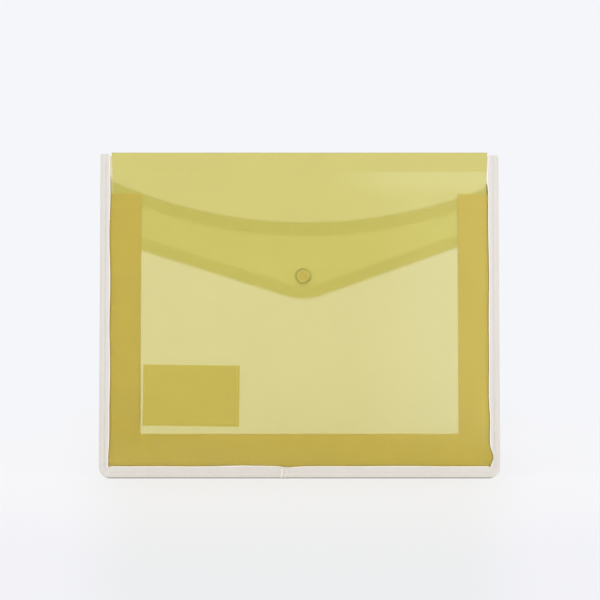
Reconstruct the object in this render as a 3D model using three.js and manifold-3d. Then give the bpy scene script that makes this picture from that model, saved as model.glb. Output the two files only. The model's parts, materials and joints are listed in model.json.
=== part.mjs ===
// Expandable file bag of frosted film: a back sheet with a scored top strip and a V flap, a front sheet
// with a concave mouth, a gusset folded inwards on three sides, bound seams, a snap and a card pocket.
// Millimetres, +Z up. The bag stands on its bottom seams, its back faces -Y and its flap hangs at +Y.
// The origin is at the middle of the footprint.
import * as THREE from "three";
import { mergeVertices } from "three/addons/utils/BufferGeometryUtils.js";
import Module from "manifold-3d";

const wasm = await Module();
wasm.setup();

// Overall sizes
const bagWidth = 374;
const bagHeight = 305;
const cornerRadius = 11;

// Film, and the air left between pieces that touch
const filmThickness = 0.5;
const gap = 0.3;

// Binding tape, folded over each seam in two lengths that lap at the bottom
const tapeThickness = 0.5;
const tapeOuterWidth = 10;
const tapeInnerWidth = 6.5;
const tapeTopDrop = 1.5;
const tapeJoinX = -14;
const tapeLapLength = 4.7;
const seamSpacing = 2.6;

// Gusset: six leaves of one width, folded inwards between the back and the front
const leafWidth = 31;
const sideSeamMargin = 0.5;
const bottomSeamMargin = 3.5;
const hingeRelief = 0.3;
const gussetTopDrop = 9;

// Front sheet: its mouth dips between the side seams
const mouthSideDrop = 30;
const mouthRadius = 455;
const mouthLowestX = 7;
const mouthHemWidth = 12;

// Top strip and flap. Lengths down the flap are measured from the top fold.
const topStripHeight = 18;
const creaseStripLength = 6;
const flapSideGap = 0.5;
const flapKneeMargin = 3;
const flapShoulderLength = 81;
const flapShoulderTilt = 2;
const flapLength = 137;
const flapTipRadius = 52;
const flapTipX = 3.5;
const flapHemWidth = 12;

// Snap fastener
const snapHemClearance = 3.4;
const snapCapRadius = 7.4;
const snapCapThickness = 1.6;
const snapBodyRadius = 5.6;
const snapFlangeThickness = 0.5;
const snapSocketThickness = 1.4;
const snapSocketFloor = 0.5;
const snapBeadRadius = 2.4;
const snapBeadHeight = 0.8;
const snapBoreClearance = 0.4;
const snapPostRadius = 1;
const snapBackCapRadius = 6.2;
const snapBackCapThickness = 0.85;
const snapDishRadius = 3;
const snapDishDepth = 0.4;
const snapEdgeRound = 0.4;

// Card pocket on the back, turned a little
const pocketWidth = 90;
const pocketHeight = 57;
const pocketFromSide = 41;
const pocketFromBottom = 48.5;
const pocketTilt = THREE.MathUtils.degToRad(0.7);
const pocketCardSpace = 0.8;
const pocketWeldWidth = 2.5;

// How finely round outlines are drawn
const cornerSteps = 6;
const creaseSteps = 5;
const mouthSteps = 40;
const tipSteps = 12;
const roundSegments = 32;

// Layers from the back of the bag to its front: each is the y of the face towards -Y
const backPanelY = tapeThickness + gap;
const backEdgeY = backPanelY + filmThickness + gap;
const backInnerTapeY = backEdgeY + filmThickness + gap;
const frontInnerTapeY = backInnerTapeY + tapeThickness + seamSpacing;
const frontEdgeY = frontInnerTapeY + tapeThickness + gap;
const frontPanelY = frontEdgeY + filmThickness + gap;
const frontOuterY = frontPanelY + filmThickness + gap;
const socketY = frontOuterY + snapFlangeThickness + gap;
const flapY = socketY + snapSocketThickness + gap;
const snapCapY = flapY + filmThickness + gap;
const pocketBackY = backPanelY - gap - filmThickness;
const pocketFrontY = pocketBackY - pocketCardSpace - filmThickness;
const tapeDepth = backInnerTapeY + tapeThickness;
const depthMiddle = (pocketFrontY + snapCapY + snapCapThickness) / 2;

// Seam lines, score line and top fold, which the sheets turn about
const panelInset = tapeThickness + gap;
const sideSeamX = bagWidth / 2 - tapeInnerWidth - sideSeamMargin;
const bottomSeamZ = tapeInnerWidth + bottomSeamMargin;
const backSeamY = backEdgeY + filmThickness / 2;
const frontSeamY = frontEdgeY + filmThickness / 2;
const halfFold = (frontSeamY - backSeamY) / 2;
const scoreY = backPanelY + filmThickness;
const scoreZ = bagHeight - topStripHeight;

// Heights of the mouth, the gusset's top, the flap and the snap
const openHalfWidth = bagWidth / 2 - tapeOuterWidth;
const mouthSideZ = bagHeight - mouthSideDrop;
const mouthCentreZ = mouthSideZ + Math.sqrt(mouthRadius ** 2 - openHalfWidth ** 2);
const gussetTopZ = mouthSideZ - gussetTopDrop;
const flapHalfWidth = openHalfWidth - flapSideGap;
const kneeZ = mouthSideZ - flapKneeMargin;
const tipZ = bagHeight - flapLength;
const snapZ = tipZ + flapHemWidth + snapHemClearance + snapBodyRadius;

const film = { color: 0xc9b653, roughness: 0.45, metalness: 0 };
const cottonTape = { color: 0xe5e1d7, roughness: 0.9, metalness: 0 };
const snapPlastic = { color: 0xcdbb5c, roughness: 0.35, metalness: 0 };

// Turns the faces of a geometry outwards, which a mirror or a swap of axes turns inwards
function facingOut(geometry) {
  const flat = geometry.index ? geometry.toNonIndexed() : geometry;
  const position = flat.attributes.position;
  const corner = (i) => new THREE.Vector3().fromBufferAttribute(position, i);
  let volume = 0;
  for (let i = 0; i < position.count; i += 3) {
    volume += corner(i).dot(corner(i + 1).cross(corner(i + 2)));
  }
  if (volume >= 0) return flat;
  for (let i = 0; i < position.count; i += 3) {
    const first = corner(i);
    const second = corner(i + 1);
    position.setXYZ(i, ...second);
    position.setXYZ(i + 1, ...first);
  }
  return flat;
}

// A closed geometry as a solid that can be joined and cut
function toSolid(geometry) {
  const bare = facingOut(geometry.clone());
  bare.deleteAttribute("normal");
  bare.deleteAttribute("uv");
  const merged = mergeVertices(bare, 1e-4);
  return new wasm.Manifold(
    new wasm.Mesh({
      numProp: 3,
      vertProperties: new Float32Array(merged.attributes.position.array),
      triVerts: new Uint32Array(merged.index.array),
    }),
  );
}

function toGeometry(solid) {
  const { vertProperties, triVerts } = solid.getMesh();
  return new THREE.BufferGeometry()
    .setAttribute("position", new THREE.BufferAttribute(vertProperties, 3))
    .setIndex(new THREE.BufferAttribute(triVerts, 1));
}

function piece(name, geometry, finish) {
  const shown = facingOut(geometry);
  shown.computeVertexNormals();
  const mesh = new THREE.Mesh(shown, new THREE.MeshStandardMaterial(finish));
  mesh.name = name;
  return mesh;
}

// A shape from points [across, up], drawn anticlockwise so that its holes are cut the right way round
function shapeOf(points) {
  const corners = points.map(([across, up]) => new THREE.Vector2(across, up));
  return new THREE.Shape(THREE.ShapeUtils.isClockWise(corners) ? corners.reverse() : corners);
}

// A flat sheet from an outline in x and z, from y towards +Y
function sheet(shape, y, thickness) {
  return new THREE.ExtrudeGeometry(shape, { depth: thickness, bevelEnabled: false })
    .rotateX(Math.PI / 2)
    .translate(0, y + thickness, 0);
}

// A bar along X from a section in y and z
function barAlongX(section, halfLength) {
  const toRow = new THREE.Matrix4().set(0, 0, 1, -halfLength, 1, 0, 0, 0, 0, 1, 0, 0, 0, 0, 0, 1);
  const bar = new THREE.ExtrudeGeometry(section, { depth: 2 * halfLength, bevelEnabled: false });
  return bar.applyMatrix4(toRow);
}

// A box between its lowest and its highest corner
function block(low, high) {
  const size = high.map((value, i) => value - low[i]);
  const middle = high.map((value, i) => (value + low[i]) / 2);
  return new THREE.BoxGeometry(...size).translate(...middle);
}

// A round piece about the snap's axis, from a profile [radius, y] that starts and ends on the axis
function turned(profile) {
  const points = profile.map(([radius, y]) => new THREE.Vector2(radius, y));
  return new THREE.LatheGeometry(points, roundSegments).translate(flapTipX, 0, snapZ);
}

function mirrored(points) {
  return points.map(([x, z]) => [-x, z]);
}

// The right side of the bag's outline drawn in by an inset: from a height, down and round the corner
function rightLine(inset, top) {
  const radius = Math.max(cornerRadius - inset, 0);
  const x = bagWidth / 2 - inset;
  const steps = radius > 0 ? cornerSteps : 0;
  const corner = Array.from({ length: steps + 1 }, (_, i) => {
    const angle = (i / Math.max(steps, 1)) * (Math.PI / 2);
    return [x - radius * (1 - Math.cos(angle)), inset + radius * (1 - Math.sin(angle))];
  });
  return [[x, top], ...corner];
}

// The whole outline open at the top, from right to left
function bagLine(inset, top) {
  const right = rightLine(inset, top);
  return [...right, ...mirrored(right).reverse()];
}

// The arc of the mouth lowered by an offset, from left to right between two ends
function mouthLine(offset, halfWidth) {
  return Array.from({ length: mouthSteps + 1 }, (_, i) => {
    const x = halfWidth * ((2 * i) / mouthSteps - 1);
    return [x, mouthCentreZ - Math.sqrt((mouthRadius + offset) ** 2 - (x - mouthLowestX) ** 2)];
  });
}

// The V edge of the flap raised by an offset, from left to right: two straight lines with an arc
// between them that touches both. The tip and the snap lie a little right of the middle.
function flapEdgeLine(offset) {
  const centreZ = tipZ + flapTipRadius;
  const radius = flapTipRadius - offset;
  const half = (side) => {
    const across = flapHalfWidth - side * flapTipX;
    const rise = bagHeight - flapShoulderLength + side * flapShoulderTilt - centreZ;
    const slope = Math.atan2(rise, across) + Math.asin(flapTipRadius / Math.hypot(rise, across));
    const touchX = radius * Math.sin(slope);
    const touchZ = centreZ - radius * Math.cos(slope);
    const end = [side * flapHalfWidth, touchZ + (across - touchX) * Math.tan(slope)];
    return { slope, end };
  };
  const left = half(-1);
  const right = half(1);
  const arc = Array.from({ length: tipSteps + 1 }, (_, i) => {
    const angle = -left.slope + (left.slope + right.slope) * (i / tipSteps);
    return [flapTipX + radius * Math.sin(angle), centreZ - radius * Math.cos(angle)];
  });
  return [left.end, ...arc, right.end];
}

// A hole for the snap's post
function postHole() {
  return new THREE.Path().absarc(flapTipX, snapZ, snapPostRadius + gap, 0, 2 * Math.PI, true);
}

// Back and front panels
function backPanel() {
  return sheet(shapeOf(bagLine(panelInset, scoreZ - gap / 2)), backPanelY, filmThickness);
}

function topStrip() {
  const half = bagWidth / 2 - panelInset;
  return block(
    [-half, backPanelY, scoreZ + gap / 2],
    [half, backPanelY + filmThickness, bagHeight - gap],
  );
}

function frontPanel() {
  const halfWidth = bagWidth / 2 - panelInset;
  const mouth = mouthLine(0, halfWidth);
  const sides = bagLine(panelInset, mouthSideZ).slice(1, -1);
  const shape = shapeOf([...sides, ...mouth]);
  shape.holes.push(postHole());
  return sheet(shape, frontPanelY, filmThickness);
}

function mouthHem() {
  const halfWidth = openHalfWidth - flapSideGap;
  const band = [...mouthLine(0, halfWidth), ...mouthLine(mouthHemWidth, halfWidth).reverse()];
  return sheet(shapeOf(band), frontOuterY, filmThickness);
}

// Binding tape
// A strip down one side and along the bottom to the join, between two insets
function tapeStrip(side, outer, inner, top, y, depth) {
  const end = side * tapeJoinX + gap / 2;
  const line = [
    ...rightLine(outer, top),
    [end, outer],
    [end, inner],
    ...rightLine(inner, top).reverse(),
  ];
  return toSolid(sheet(shapeOf(side > 0 ? line : mirrored(line)), y, depth));
}

// A channel folded over a seam, from its face on the panel to its narrower face on the gusset
function tapeChannel(side, top, panelFaceY, gussetFaceY) {
  const wallY = Math.min(panelFaceY, gussetFaceY);
  const wall = tapeStrip(side, 0, tapeThickness, top, wallY, tapeDepth);
  const panelFace = tapeStrip(side, 0, tapeOuterWidth, top, panelFaceY, tapeThickness);
  const gussetFace = tapeStrip(side, 0, tapeInnerWidth, top, gussetFaceY, tapeThickness);
  return wall.add(panelFace).add(gussetFace);
}

// The end of the left length, which laps over the right one away from the panel
function tapeLap(panelFaceY, outwards) {
  const lapY = panelFaceY + outwards * (tapeThickness + gap);
  const start = tapeJoinX - tapeLapLength;
  const lowY = Math.min(lapY, panelFaceY);
  const highY = Math.max(lapY, panelFaceY) + tapeThickness;
  const root = block([start, lowY, gap], [tapeJoinX - gap / 2, highY, tapeOuterWidth]);
  const cover = block(
    [start, lapY, gap],
    [tapeJoinX + tapeLapLength, lapY + tapeThickness, tapeOuterWidth],
  );
  return toSolid(root).add(toSolid(cover));
}

// The wedge cut out of the back tape so that it can fold forwards by a right angle at the score
function scoreNotch() {
  const reach = 2 * tapeDepth;
  const section = shapeOf([
    [-reach, scoreZ + gap / 2],
    [-reach, scoreZ - gap / 2],
    [scoreY, scoreZ - gap / 2],
    [scoreY + reach, scoreZ - gap / 2 - reach],
    [scoreY + reach, scoreZ + gap / 2 + reach],
    [scoreY, scoreZ + gap / 2],
  ]);
  return toSolid(barAlongX(section, bagWidth));
}

function backTapes() {
  const top = bagHeight - tapeTopDrop;
  const notch = scoreNotch();
  const reach = bagWidth;
  const below = toSolid(block([-reach, -reach, -reach], [reach, reach, scoreZ]));
  const channels = [-1, 1].map((side) => tapeChannel(side, top, 0, backInnerTapeY).subtract(notch));
  const [left, right] = channels.map((channel) => channel.intersect(below));
  const [topLeft, topRight] = channels.map((channel) => channel.subtract(below));
  return { left: left.add(tapeLap(0, -1)), right, topLeft, topRight };
}

function frontTapes() {
  const mouth = mouthLine(0, bagWidth / 2 - panelInset);
  const [left, right] = [-1, 1].map((side) => {
    const [, mouthEndZ] = mouth.at(side < 0 ? 0 : -1);
    return tapeChannel(side, mouthEndZ + gap, frontOuterY, frontInnerTapeY);
  });
  return { left: left.add(tapeLap(frontOuterY, 1)), right };
}

// Gusset
// A leaf's section, with u from its seam line to the crease and y from its own seam to the other one.
// It curls to the middle of the fold, where the other leaf meets it.
function leafSection() {
  const half = filmThickness / 2;
  const centre = leafWidth - halfFold - half;
  const curl = (radius) => {
    const last = Math.PI / 2 - Math.asin(gap / 2 / radius);
    return Array.from({ length: creaseSteps + 1 }, (_, i) => {
      const angle = (i / creaseSteps) * last;
      return [centre + radius * Math.sin(angle), halfFold - radius * Math.cos(angle)];
    });
  };
  return shapeOf([
    [hingeRelief, -half],
    ...curl(halfFold + half),
    ...curl(halfFold - half).reverse(),
    [hingeRelief, half],
  ]);
}

// A leaf of a length along its seam, mitred at its start and, if told, at its end
function leaf(length, mitredEnd) {
  const geometry = new THREE.ExtrudeGeometry(leafSection(), { depth: length, bevelEnabled: false });
  const position = geometry.attributes.position;
  for (let i = 0; i < position.count; i++) {
    const u = position.getX(i);
    const atStart = position.getZ(i) < length / 2;
    const end = mitredEnd ? length - u : length;
    position.setZ(i, atStart ? u : end);
  }
  return geometry;
}

// Places a leaf: across is where u goes, along is where its length goes. A front leaf is the mirror
// image of the back one across the middle of the fold.
function placedLeaf(geometry, across, along, seamX, seamZ, isFront) {
  const turn = new THREE.Matrix4().makeBasis(across, new THREE.Vector3(0, 1, 0), along);
  geometry.applyMatrix4(turn);
  if (isFront) geometry.scale(1, -1, 1);
  return geometry.translate(seamX, isFront ? frontSeamY : backSeamY, seamZ);
}

function sideLeaf(side, isFront) {
  const foot = bottomSeamZ + gap;
  const across = new THREE.Vector3(-side, 0, 0);
  const along = new THREE.Vector3(0, 0, 1);
  return placedLeaf(leaf(gussetTopZ - foot, false), across, along, side * sideSeamX, foot, isFront);
}

function bottomLeaf(isFront) {
  const start = gap - sideSeamX;
  const across = new THREE.Vector3(0, 0, 1);
  const along = new THREE.Vector3(1, 0, 0);
  return placedLeaf(leaf(-2 * start, true), across, along, start, bottomSeamZ, isFront);
}

// The gusset's sewn edge, held inside a tape on three sides
function gussetEdge(y) {
  const innerX = sideSeamX + hingeRelief / 2;
  const innerZ = bottomSeamZ - hingeRelief / 2;
  const inner = [[-innerX, gussetTopZ], [-innerX, innerZ], [innerX, innerZ], [innerX, gussetTopZ]];
  return sheet(shapeOf([...bagLine(panelInset, gussetTopZ), ...inner]), y, filmThickness);
}

// Flap
// Its section slants from the top fold out over the mouth to a knee, and hangs straight below it.
const slantStart = { y: scoreY + gap, z: bagHeight };
const slantAngle = Math.atan2(flapY - slantStart.y, slantStart.z - kneeZ);

// The point at a length down the slant, on its inner face or raised from it
function slantPoint(length, raised) {
  return [
    slantStart.y + length * Math.sin(slantAngle) + raised * Math.cos(slantAngle),
    slantStart.z - length * Math.cos(slantAngle) + raised * Math.sin(slantAngle),
  ];
}

function creaseStrip() {
  const end = creaseStripLength - gap / 2;
  const section = shapeOf([
    slantPoint(gap, 0),
    slantPoint(gap, filmThickness),
    slantPoint(end, filmThickness),
    slantPoint(end, 0),
  ]);
  return barAlongX(section, flapHalfWidth);
}

function flapSheet() {
  const start = creaseStripLength + gap / 2;
  const kneeRise = filmThickness * Math.tan(slantAngle / 2);
  const foot = tipZ - filmThickness;
  const section = shapeOf([
    slantPoint(start, 0),
    slantPoint(start, filmThickness),
    [flapY + filmThickness, kneeZ + kneeRise],
    [flapY + filmThickness, foot],
    [flapY, foot],
    [flapY, kneeZ],
  ]);
  const outline = shapeOf([...flapEdgeLine(0), [flapHalfWidth, bagHeight], [-flapHalfWidth, bagHeight]]);
  outline.holes.push(postHole());
  const outlineDepth = flapY + 2 * filmThickness;
  return toSolid(barAlongX(section, bagWidth)).intersect(toSolid(sheet(outline, 0, outlineDepth)));
}

function flapHem() {
  const band = [...flapEdgeLine(0), ...flapEdgeLine(flapHemWidth).reverse()];
  return sheet(shapeOf(band), flapY - gap - filmThickness, filmThickness);
}

// Snap fastener
function snapCap() {
  const top = snapCapY + snapCapThickness;
  return turned([
    [0, flapY],
    [snapPostRadius, flapY],
    [snapPostRadius, snapCapY],
    [snapCapRadius, snapCapY],
    [snapCapRadius, top - 2 * snapEdgeRound],
    [snapCapRadius - snapEdgeRound, top - snapEdgeRound],
    [snapCapRadius - 3 * snapEdgeRound, top],
    [snapDishRadius + snapDishDepth, top],
    [snapDishRadius, top - snapDishDepth],
    [0, top - snapDishDepth],
  ]);
}

function snapSocket() {
  const top = socketY + snapSocketThickness;
  const floor = top - snapSocketFloor;
  const bore = snapBeadRadius + snapBoreClearance;
  return turned([
    [0, floor],
    [bore, floor],
    [bore, socketY],
    [snapBodyRadius - snapEdgeRound, socketY],
    [snapBodyRadius, socketY + snapEdgeRound],
    [snapBodyRadius, top],
    [0, top],
  ]);
}

function snapStud() {
  const flange = frontOuterY + snapFlangeThickness;
  const neck = snapBeadRadius - snapBoreClearance;
  return turned([
    [0, frontOuterY],
    [snapBodyRadius, frontOuterY],
    [snapBodyRadius, flange],
    [neck, flange],
    [snapBeadRadius, flange + snapBeadHeight / 2],
    [neck, flange + snapBeadHeight],
    [0, flange + snapBeadHeight],
  ]);
}

function snapBackCap() {
  const seat = frontPanelY - gap;
  const face = seat - snapBackCapThickness;
  return turned([
    [0, face + snapDishDepth],
    [snapDishRadius, face + snapDishDepth],
    [snapDishRadius + snapDishDepth, face],
    [snapBackCapRadius - snapEdgeRound, face],
    [snapBackCapRadius, face + snapEdgeRound],
    [snapBackCapRadius, seat],
    [snapPostRadius, seat],
    [snapPostRadius, frontPanelY + filmThickness],
    [0, frontPanelY + filmThickness],
  ]);
}

// Card pocket, drawn about its own middle
function pocketBack() {
  const half = [pocketWidth / 2, pocketHeight / 2];
  return block([-half[0], pocketBackY, -half[1]], [half[0], pocketBackY + filmThickness, half[1]]);
}

// The front leaf is welded on three sides, and its top is open.
function pocketFront() {
  const half = [pocketWidth / 2, pocketHeight / 2];
  const weldY = pocketBackY - gap;
  const leafInnerY = pocketFrontY + filmThickness;
  const whole = block([-half[0], pocketFrontY, -half[1]], [half[0], weldY, half[1]]);
  const cardSpace = block(
    [pocketWeldWidth - half[0], leafInnerY, pocketWeldWidth - half[1]],
    [half[0] - pocketWeldWidth, pocketBackY, pocketHeight],
  );
  return toGeometry(toSolid(whole).subtract(toSolid(cardSpace)));
}

function pocket() {
  const group = new THREE.Group();
  group.position.set(
    pocketFromSide + (pocketWidth - bagWidth) / 2,
    0,
    pocketFromBottom + pocketHeight / 2,
  );
  group.rotation.y = pocketTilt;
  group.add(piece("card_pocket_back", pocketBack(), film));
  group.add(piece("card_pocket_front", pocketFront(), film));
  return group;
}

// The whole bag
const bag = new THREE.Group();
bag.position.y = -depthMiddle;

const backTape = backTapes();
const frontTape = frontTapes();

bag.add(piece("back_panel", backPanel(), film));
bag.add(piece("back_tape_left", toGeometry(backTape.left), cottonTape));
bag.add(piece("back_tape_right", toGeometry(backTape.right), cottonTape));
bag.add(piece("gusset_back_edge", gussetEdge(backEdgeY), film));
bag.add(pocket());

bag.add(piece("top_strip", topStrip(), film));
bag.add(piece("top_tape_left", toGeometry(backTape.topLeft), cottonTape));
bag.add(piece("top_tape_right", toGeometry(backTape.topRight), cottonTape));

bag.add(piece("gusset_left_back", sideLeaf(-1, false), film));
bag.add(piece("gusset_left_front", sideLeaf(-1, true), film));
bag.add(piece("gusset_right_back", sideLeaf(1, false), film));
bag.add(piece("gusset_right_front", sideLeaf(1, true), film));
bag.add(piece("gusset_bottom_back", bottomLeaf(false), film));
bag.add(piece("gusset_bottom_front", bottomLeaf(true), film));

bag.add(piece("front_panel", frontPanel(), film));
bag.add(piece("mouth_hem", mouthHem(), film));
bag.add(piece("front_tape_left", toGeometry(frontTape.left), cottonTape));
bag.add(piece("front_tape_right", toGeometry(frontTape.right), cottonTape));
bag.add(piece("gusset_front_edge", gussetEdge(frontEdgeY), film));
bag.add(piece("snap_stud", snapStud(), snapPlastic));
bag.add(piece("snap_back_cap", snapBackCap(), snapPlastic));

bag.add(piece("flap_crease", creaseStrip(), film));
bag.add(piece("flap", toGeometry(flapSheet()), film));
bag.add(piece("flap_hem", flapHem(), film));
bag.add(piece("snap_cap", snapCap(), snapPlastic));
bag.add(piece("snap_socket", snapSocket(), snapPlastic));

export default bag;
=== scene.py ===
"""Looks of an expandable file bag: frosted film, a gusset folded inwards, binding tape, a snap and a card
pocket. Lengths are in millimetres in the part's own frame, and become metres where a mesh is made."""

import json
import math

import bmesh
import bpy
import numpy as np
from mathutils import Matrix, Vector

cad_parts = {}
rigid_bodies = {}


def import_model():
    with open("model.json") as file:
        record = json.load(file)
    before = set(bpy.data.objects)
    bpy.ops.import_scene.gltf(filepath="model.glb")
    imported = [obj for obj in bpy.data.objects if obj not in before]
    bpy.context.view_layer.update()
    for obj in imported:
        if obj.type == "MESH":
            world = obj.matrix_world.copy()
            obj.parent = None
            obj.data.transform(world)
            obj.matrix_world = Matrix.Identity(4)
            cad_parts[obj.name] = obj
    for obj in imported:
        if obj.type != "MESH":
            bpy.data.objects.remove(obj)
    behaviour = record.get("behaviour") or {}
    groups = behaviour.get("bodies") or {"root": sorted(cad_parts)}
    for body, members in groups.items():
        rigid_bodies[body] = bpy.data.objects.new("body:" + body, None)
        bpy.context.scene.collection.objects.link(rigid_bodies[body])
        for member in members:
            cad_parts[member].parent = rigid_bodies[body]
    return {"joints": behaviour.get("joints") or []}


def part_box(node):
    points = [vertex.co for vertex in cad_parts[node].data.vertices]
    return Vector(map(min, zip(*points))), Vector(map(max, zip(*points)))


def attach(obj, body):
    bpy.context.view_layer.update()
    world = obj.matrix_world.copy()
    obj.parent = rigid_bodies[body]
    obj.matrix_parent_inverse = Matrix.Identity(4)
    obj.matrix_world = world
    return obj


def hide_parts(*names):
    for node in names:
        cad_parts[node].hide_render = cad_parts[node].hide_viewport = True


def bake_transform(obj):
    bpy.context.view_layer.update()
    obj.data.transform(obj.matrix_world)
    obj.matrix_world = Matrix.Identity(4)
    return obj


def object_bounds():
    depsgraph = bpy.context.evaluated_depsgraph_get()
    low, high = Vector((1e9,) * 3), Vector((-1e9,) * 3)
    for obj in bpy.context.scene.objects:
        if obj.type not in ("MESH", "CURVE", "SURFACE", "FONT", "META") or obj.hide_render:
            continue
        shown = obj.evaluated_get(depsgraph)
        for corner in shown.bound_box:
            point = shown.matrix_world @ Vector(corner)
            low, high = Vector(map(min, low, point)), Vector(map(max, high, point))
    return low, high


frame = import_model()
cad_box = [list(corner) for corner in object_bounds()]
MM = 0.001

# Sizes of the bag, which match its solids
HALF_WIDTH = 187
TOP = 305
CORNER_RADIUS = 11
SHEET_INSET = 0.8
FILM = 0.5
SIDE_SEAM = 180
BOTTOM_SEAM = 10
LEAF_WIDTH = 31
WINDOW_HALF_WIDTH = 149
GUSSET_TOP = 266
SCORE = 287
FOLD_RADIUS = 0.4
CREASE_STRIP = 6
KNEE = 272
FLAP_HALF_WIDTH = 176.5
FLAP_SHOULDER = 224
FLAP_SHOULDER_TILT = 2
FLAP_TIP = 168
FLAP_TIP_RADIUS = 52
FLAP_TIP_X = 3.5
HEM_WIDTH = 12
MOUTH_RADIUS = 455
MOUTH_CENTRE = 694.15
MOUTH_LOWEST_X = 7
POCKET_WIDTH = 90
POCKET_HEIGHT = 57
POCKET_CENTRE = (-101, 77)
POCKET_TILT = math.radians(0.7)
TAPE_JOIN = -14
TAPE_TOP_DROP = 1.5
TAPE_INNER_WIDTH = 6.5

# Smaller sizes of folds, seams, thread and tape
SCORE_RIDGE = 0.14
SEWN_EDGE = 6
SEAM_BEND = 0.9
SEAM_POINT_Z = 100
MITRE_GAP = 0.1
CREASE_RADIUS = 0.6
CORNER_CREASE = (0.786, 0.618)
FLAT_LENGTH = 12
RIGHT_TAPE_DROP = 1.3
PRESSED_DEPTH = 2.3
PRESSED_LENGTH = 7
YARN_PITCH = 0.5
STITCH_PITCH = 2.6
STITCH_INSET = 5.4
STITCH_GAP = 0.06
STITCH_LIFT = 0.16
STITCH_SINK = 0.12
THREAD_RADIUS = 0.17
LIP_HEIGHT = 0.28
ROLL_HEIGHT = 0.34
OUTER_GROOVE = 0.2
INNER_GROOVE = 0.15
LAP_HALF_WIDTH = 4.4
LAP_REACH = 10.4
POCKET_MARGIN = 4
WELD_GAP = 0.05
WELD_WIDTH = 1.8
WELD_SLOPE = 1.4

# Counts of faces
SHEET_ROWS = 40
TAPE_ROWS = 37
HIGHLIGHT_ROWS = 3
LAP_COLUMNS = 26
LAP_FOLDS = (4, 6, 19)


def middle_of(node):
    """The y of the middle of a flat CAD node."""
    low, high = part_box(node)
    return (low.y + high.y) / 2 / MM


def depth_of(node):
    """The lowest and the highest y of a CAD node."""
    low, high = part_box(node)
    return low.y / MM, high.y / MM


def ease(t):
    """Goes smoothly from 0 to 1 while t does."""
    t = np.clip(t, 0, 1)
    return t * t * (3 - 2 * t)


def hill(value, centre, width):
    """A smooth hill of height 1."""
    return np.exp(-(((value - centre) / width) ** 2))


def spread(*stretches):
    """Values that go evenly through stretches (start, end, steps), each value once."""
    parts = [np.linspace(a, b, n, endpoint=False) for a, b, n in stretches]
    return np.concatenate([*parts, [stretches[-1][1]]])


BACK_Y = middle_of("back_panel")
BACK_EDGE_Y = middle_of("gusset_back_edge")
FRONT_EDGE_Y = middle_of("gusset_front_edge")
FRONT_Y = middle_of("front_panel")
MOUTH_HEM_Y = middle_of("mouth_hem")
FLAP_HEM_Y = middle_of("flap_hem")
FLAP_Y = depth_of("flap")[1] - FILM / 2
FOLD_Y = (BACK_EDGE_Y + FRONT_EDGE_Y) / 2
FOLD_CENTRE = TOP - FOLD_RADIUS - FILM / 2
SNAP_X = (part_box("snap_cap")[0].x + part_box("snap_cap")[1].x) / 2 / MM
SNAP_Z = (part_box("snap_cap")[0].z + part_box("snap_cap")[1].z) / 2 / MM


# Meshes
def add_mesh(name, vertices, faces):
    mesh = bpy.data.meshes.new(name)
    mesh.from_pydata((np.asarray(vertices, float) * MM).tolist(), [], faces)
    mesh.validate()
    piece = bpy.data.objects.new(name, mesh)
    bpy.context.scene.collection.objects.link(piece)
    return piece


def grid_faces(rows, columns):
    index = np.arange(rows * columns).reshape(rows, columns)
    corners = [index[:-1, :-1], index[:-1, 1:], index[1:, 1:], index[1:, :-1]]
    return np.stack(corners, -1).reshape(-1, 4).tolist()


def apply_modifiers(piece):
    bpy.context.view_layer.update()
    shaped = piece.evaluated_get(bpy.context.evaluated_depsgraph_get())
    mesh = bpy.data.meshes.new_from_object(shaped)
    piece.modifiers.clear()
    piece.data = mesh
    return piece


def turn_outwards(piece):
    shape = bmesh.new()
    shape.from_mesh(piece.data)
    bmesh.ops.recalc_face_normals(shape, faces=shape.faces)
    shape.to_mesh(piece.data)
    shape.free()


def smooth(piece, angle=35):
    piece.data.shade_smooth()
    piece.data.set_sharp_from_angle(angle=math.radians(angle))
    return piece


def film_sheet(name, points):
    """A closed sheet about a grid of points [row, column, xyz]."""
    rows, columns = points.shape[:2]
    piece = add_mesh(name, points.reshape(-1, 3), grid_faces(rows, columns))
    solid = piece.modifiers.new("film", "SOLIDIFY")
    solid.thickness = FILM * MM
    solid.offset = 0
    solid.use_even_offset = True
    return smooth(apply_modifiers(piece))


def turned_piece(name, profile, segments=72):
    """A round piece about the snap's axis, from a profile of (radius, y) that starts and ends on it."""
    profile = np.array(profile, float)
    inner = profile[1:-1]
    angle = np.arange(segments) * 2 * math.pi / segments
    ring = np.stack([np.cos(angle), np.zeros(segments), np.sin(angle)], -1)
    around = inner[:, None, :1] * ring[None] + np.array([0, 1, 0]) * inner[:, None, 1:]
    ends = [[0, profile[0][1], 0], [0, profile[-1][1], 0]]
    vertices = np.concatenate([around.reshape(-1, 3), ends]) + np.array([SNAP_X, 0, SNAP_Z])
    faces = []
    last = len(inner) - 1
    for j in range(segments):
        k = (j + 1) % segments
        for i in range(last):
            low, high = i * segments, (i + 1) * segments
            faces.append((low + j, low + k, high + k, high + j))
        faces.append((len(vertices) - 2, k, j))
        faces.append((len(vertices) - 1, last * segments + j, last * segments + k))
    piece = add_mesh(name, vertices, faces)
    turn_outwards(piece)
    return smooth(piece, 30)


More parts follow.
